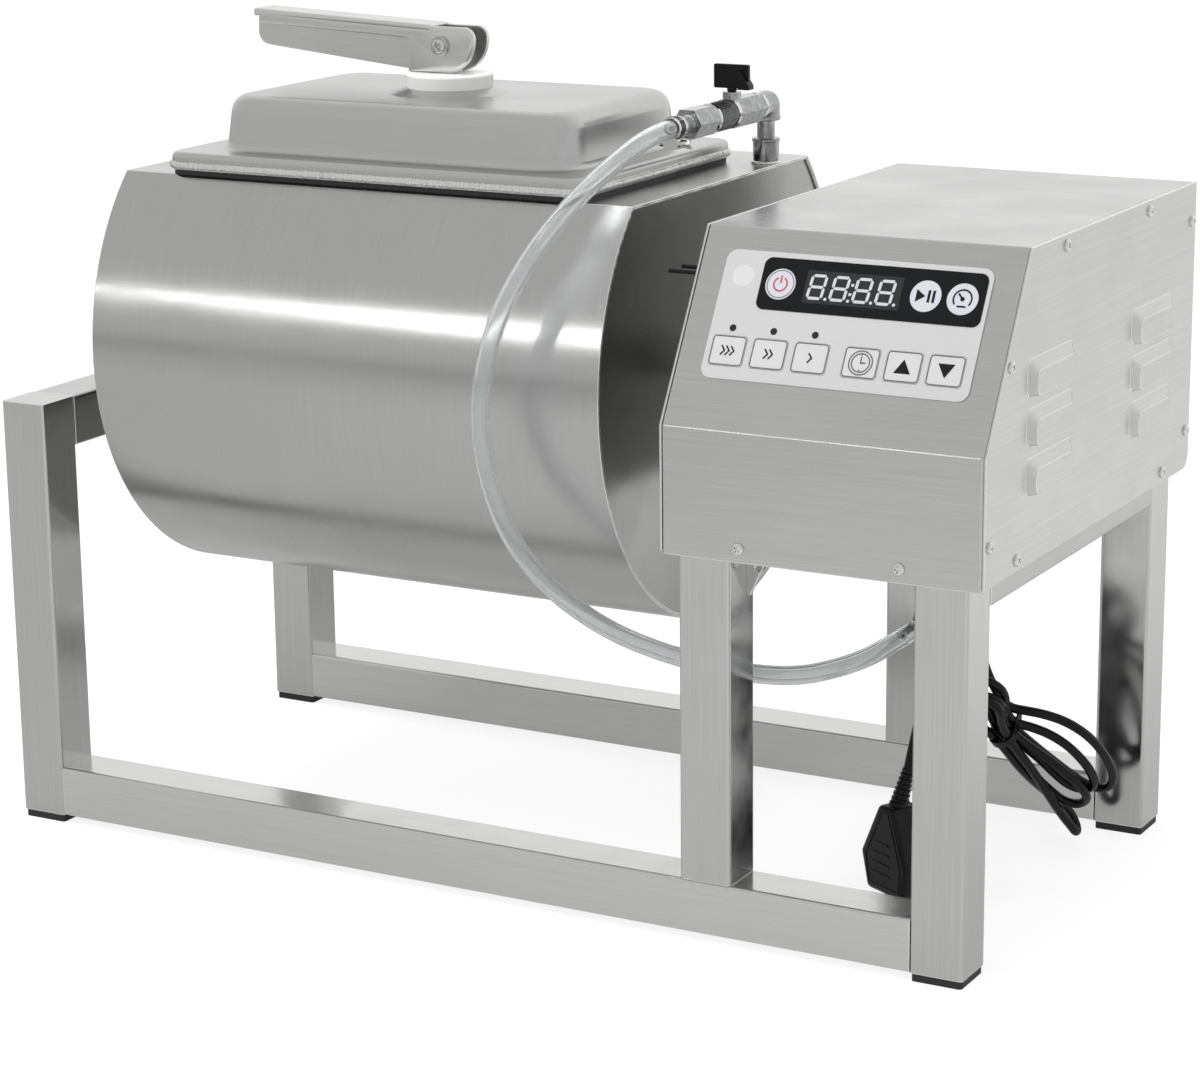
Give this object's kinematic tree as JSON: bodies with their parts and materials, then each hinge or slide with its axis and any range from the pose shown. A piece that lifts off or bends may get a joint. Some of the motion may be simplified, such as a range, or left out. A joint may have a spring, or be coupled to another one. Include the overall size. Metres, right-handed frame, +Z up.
{
  "type": "meat vacuum tumbler",
  "caption": "Bench-top vacuum tumbler: steel drum with a flat, lidded mouth on a tube frame, with a cam lever, a valve with a clear hose and a control box with a key panel.",
  "frame": {"origin": "centre of the footprint, on the floor under the rubber feet", "axes": "+X along the drum, from the open left frame to the control box; +Y from the front, with the key panel, to the back; +Z up"},
  "size_m": [0.837, 0.4424, 0.6359],
  "materials": {
    "frame_tube": "brushed",
    "sheet_steel": "fine brushed",
    "bright_steel": "polished",
    "bearing_steel": "ground",
    "bearing_iron": "painted casting",
    "machine_iron": "painted casting",
    "motor_paint": "gloss",
    "pump_aluminium": "cast",
    "valve_chrome": "plated",
    "overlay_film": "satin film",
    "smoked_window": "smoked",
    "circuit_board": "satin",
    "pale_key": "satin",
    "dark_lamp": "clear",
    "white_key": "satin",
    "black_plastic": "matte",
    "white_nylon": "satin",
    "clear_hose": "clear",
    "seal_rubber": "matte",
    "black_rubber": "matte",
    "cord_rubber": "satin"
  },
  "bodies": {
    "frame": {"left_posts": "frame_tube", "left_top_beam": "frame_tube", "bottom_rails": "frame_tube", "inner_legs": "frame_tube", "outer_legs": "frame_tube", "box_rails": "frame_tube", "corner_gussets": "frame_tube", "rubber_feet": "black_rubber", "bearing_housing": "bearing_iron", "bearing_insert": "bearing_steel", "bearing_bolts": "bright_steel", "base_tray": "sheet_steel", "housing_wrap": "sheet_steel", "left_side_panel": "sheet_steel", "right_side_panel": "sheet_steel", "housing_screws": "bright_steel", "control_overlay": "overlay_film", "display_window": "smoked_window", "indicator_lights": "dark_lamp", "control_board": "circuit_board", "gearbox": "machine_iron", "drive_motor": "motor_paint", "vacuum_pump": "pump_aluminium", "pump_port": "valve_chrome", "vacuum_hose": "clear_hose", "cord_gland": "black_plastic", "cord_lead": "cord_rubber", "cord_hank": "cord_rubber", "plug_lead": "cord_rubber", "power_plug": "cord_rubber", "position_switch": "black_plastic"},
    "drum": {"drum_barrel": "sheet_steel", "left_end_disc": "bright_steel", "right_end_disc": "bright_steel", "mouth_frame": "sheet_steel", "drum_baffles": "sheet_steel", "left_stub_shaft": "bright_steel", "drive_shaft": "bright_steel", "valve_riser": "valve_chrome", "valve_body": "valve_chrome", "hose_tail": "valve_chrome", "hose_clamp": "bright_steel"},
    "valve_stem": {"valve_handle": "black_plastic", "valve_ball": "valve_chrome"},
    "lid": {"lid_shell": "bright_steel", "lid_seal": "seal_rubber"},
    "lock_collar": {"nylon_washer": "white_nylon"},
    "spindle": {"lock_spindle": "bright_steel", "lock_bar": "bright_steel"},
    "lever": {"lever_handle": "bright_steel", "lever_pin": "bright_steel"},
    "power_key": {"power_key": "pale_key"},
    "start_key": {"start_key": "pale_key"},
    "vacuum_key": {"vacuum_key": "pale_key"},
    "fast_key": {"fast_key": "white_key"},
    "medium_key": {"medium_key": "white_key"},
    "slow_key": {"slow_key": "white_key"},
    "timer_key": {"timer_key": "white_key"},
    "up_key": {"up_key": "white_key"},
    "down_key": {"down_key": "white_key"}
  },
  "joints": [
    {"name": "drum_spin", "type": "hinge", "parent": "frame", "child": "drum", "pos_m": [-0.1075, 0.0071, 0.385], "axis": [1, 0, 0], "continuous": true, "deforming": ["vacuum_hose"]},
    {"name": "valve_turn", "type": "hinge", "parent": "drum", "child": "valve_stem", "pos_m": [0.1015, 0.0441, 0.5825], "axis": [0, 0, 1], "range_deg": [0, 90]},
    {"name": "lid_lift", "type": "slide", "parent": "drum", "child": "lid", "axis": [0, 0, 1], "range_m": [0, 0.2]},
    {"name": "lock_turn", "type": "hinge", "parent": "lid", "child": "lock_collar", "pos_m": [-0.1075, -0.0189, 0.588], "axis": [0, 0, 1], "range_deg": [0, 90]},
    {"name": "cam_pull", "type": "slide", "parent": "lock_collar", "child": "spindle", "axis": [0, 0, 1], "range_m": [0, 0.008]},
    {"name": "lever_lift", "type": "hinge", "parent": "spindle", "child": "lever", "pos_m": [-0.1075, -0.0189, 0.615], "axis": [0, 1, 0], "range_deg": [0, 90]},
    {"name": "power_key_press", "type": "slide", "parent": "frame", "child": "power_key", "axis": [0, 0.866, -0.5], "range_m": [0, 0.0004], "stiffness_N_per_m": 800, "springref_m": -0.0002},
    {"name": "start_key_press", "type": "slide", "parent": "frame", "child": "start_key", "axis": [0, 0.866, -0.5], "range_m": [0, 0.0004], "stiffness_N_per_m": 800, "springref_m": -0.0002},
    {"name": "vacuum_key_press", "type": "slide", "parent": "frame", "child": "vacuum_key", "axis": [0, 0.866, -0.5], "range_m": [0, 0.0004], "stiffness_N_per_m": 800, "springref_m": -0.0002},
    {"name": "fast_key_press", "type": "slide", "parent": "frame", "child": "fast_key", "axis": [0, 0.866, -0.5], "range_m": [0, 0.0004], "stiffness_N_per_m": 800, "springref_m": -0.0002},
    {"name": "medium_key_press", "type": "slide", "parent": "frame", "child": "medium_key", "axis": [0, 0.866, -0.5], "range_m": [0, 0.0004], "stiffness_N_per_m": 800, "springref_m": -0.0002},
    {"name": "slow_key_press", "type": "slide", "parent": "frame", "child": "slow_key", "axis": [0, 0.866, -0.5], "range_m": [0, 0.0004], "stiffness_N_per_m": 800, "springref_m": -0.0002},
    {"name": "timer_key_press", "type": "slide", "parent": "frame", "child": "timer_key", "axis": [0, 0.866, -0.5], "range_m": [0, 0.0004], "stiffness_N_per_m": 800, "springref_m": -0.0002},
    {"name": "up_key_press", "type": "slide", "parent": "frame", "child": "up_key", "axis": [0, 0.866, -0.5], "range_m": [0, 0.0004], "stiffness_N_per_m": 800, "springref_m": -0.0002},
    {"name": "down_key_press", "type": "slide", "parent": "frame", "child": "down_key", "axis": [0, 0.866, -0.5], "range_m": [0, 0.0004], "stiffness_N_per_m": 800, "springref_m": -0.0002}
  ],
  "couplings": [
    {"joint": "cam_pull", "follows": "lever_lift", "m_per_rad": 0.0050929}
  ]
}
